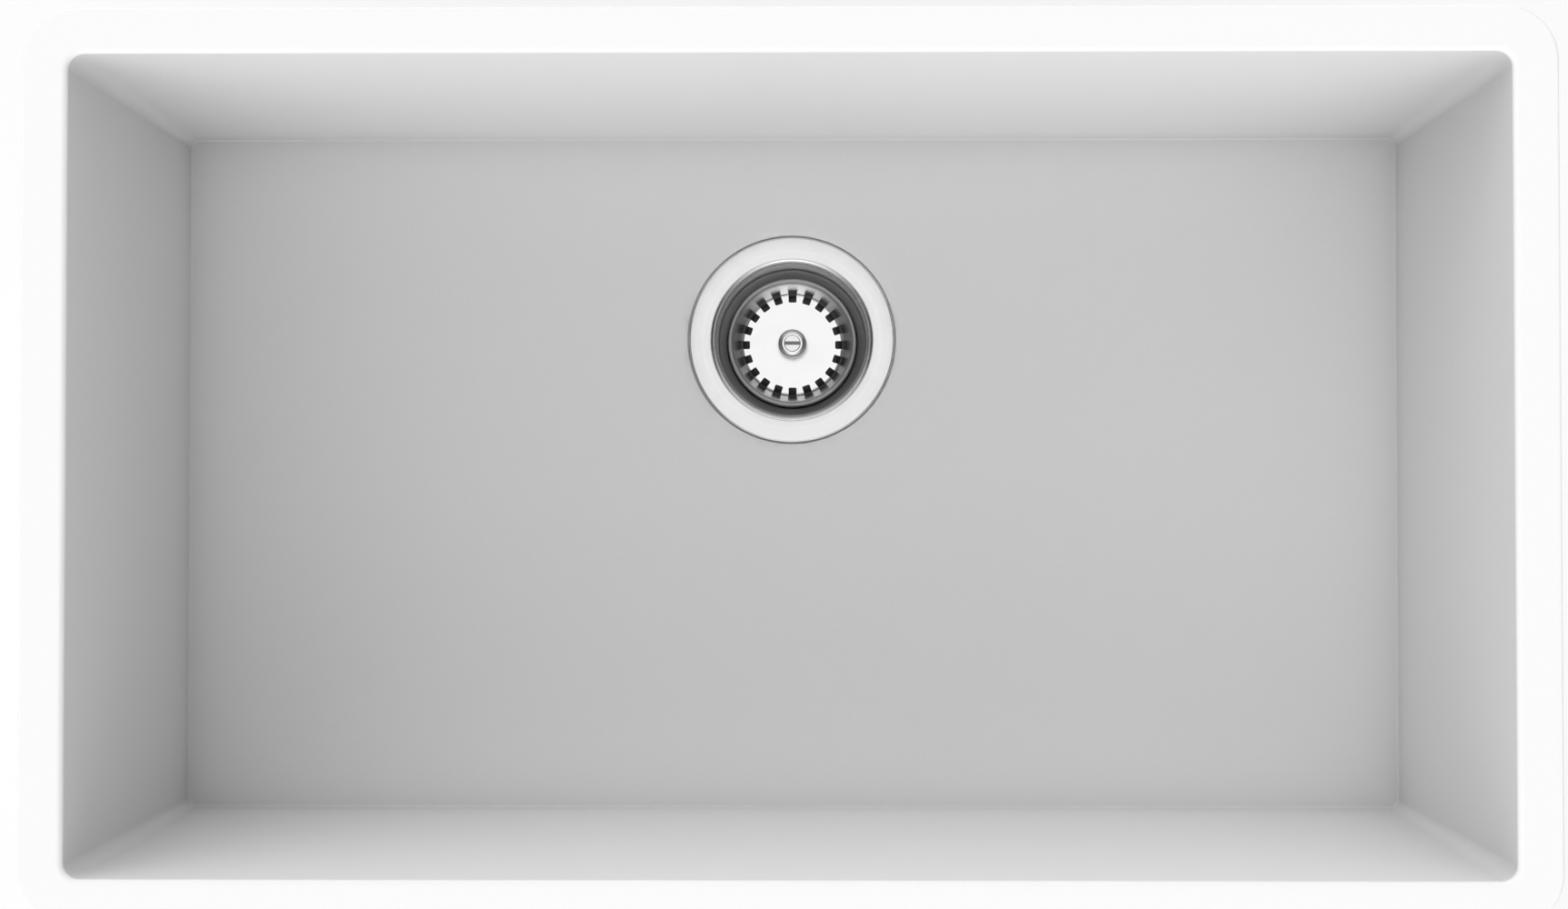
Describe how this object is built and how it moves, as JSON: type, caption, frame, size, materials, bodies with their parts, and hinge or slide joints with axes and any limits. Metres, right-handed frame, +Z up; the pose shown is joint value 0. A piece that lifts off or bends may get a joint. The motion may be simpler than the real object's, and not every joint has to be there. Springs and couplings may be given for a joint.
{
  "type": "undermount kitchen sink",
  "caption": "Single-bowl undermount kitchen sink in moulded white composite, with a lift-out basket strainer, locknut and flanged tailpiece.",
  "frame": {"origin": "centre of the bowl's opening in the plane of the flange's top face, which meets the underside of the worktop", "axes": "+X along the sink to the right, +Y to the back, where the drain lies, +Z up"},
  "size_m": [0.744, 0.444, 0.3775],
  "materials": {
    "bowl_composite": "matte",
    "insert_brass": "satin",
    "seal_foam": "matte",
    "strainer_steel": "satin",
    "basket_steel": "satin",
    "knob_steel": "polished",
    "gasket_rubber": "matte",
    "stopper_rubber": "matte",
    "washer_fibre": "matte",
    "locknut_zinc": "satin",
    "neck_brass": "satin",
    "grip_nylon": "satin",
    "outlet_chrome": "polished"
  },
  "bodies": {
    "sink": {"sink_bowl": "bowl_composite", "clip_inserts": "insert_brass", "flange_seal": "seal_foam", "strainer_body": "strainer_steel", "rubber_gasket": "gasket_rubber", "friction_washer": "washer_fibre", "locknut": "locknut_zinc", "outlet_neck": "neck_brass", "outlet_cross": "strainer_steel", "tailpiece_washer": "grip_nylon", "tailpiece": "outlet_chrome", "coupling_nut": "outlet_chrome"},
    "grip": {"post_grip": "grip_nylon"},
    "basket": {"basket_cup": "basket_steel", "basket_post": "basket_steel", "basket_knob": "knob_steel", "knob_screw": "knob_steel", "stopper_seal": "stopper_rubber", "seal_washer": "basket_steel", "post_clip": "basket_steel"}
  },
  "joints": [
    {"name": "basket_turn", "type": "hinge", "parent": "sink", "child": "grip", "pos_m": [0, 0.074, -0.2582], "axis": [0, 0, 1], "continuous": true},
    {"name": "basket_lift", "type": "slide", "parent": "grip", "child": "basket", "axis": [0, 0, 1], "range_m": [0, 0.28]}
  ]
}
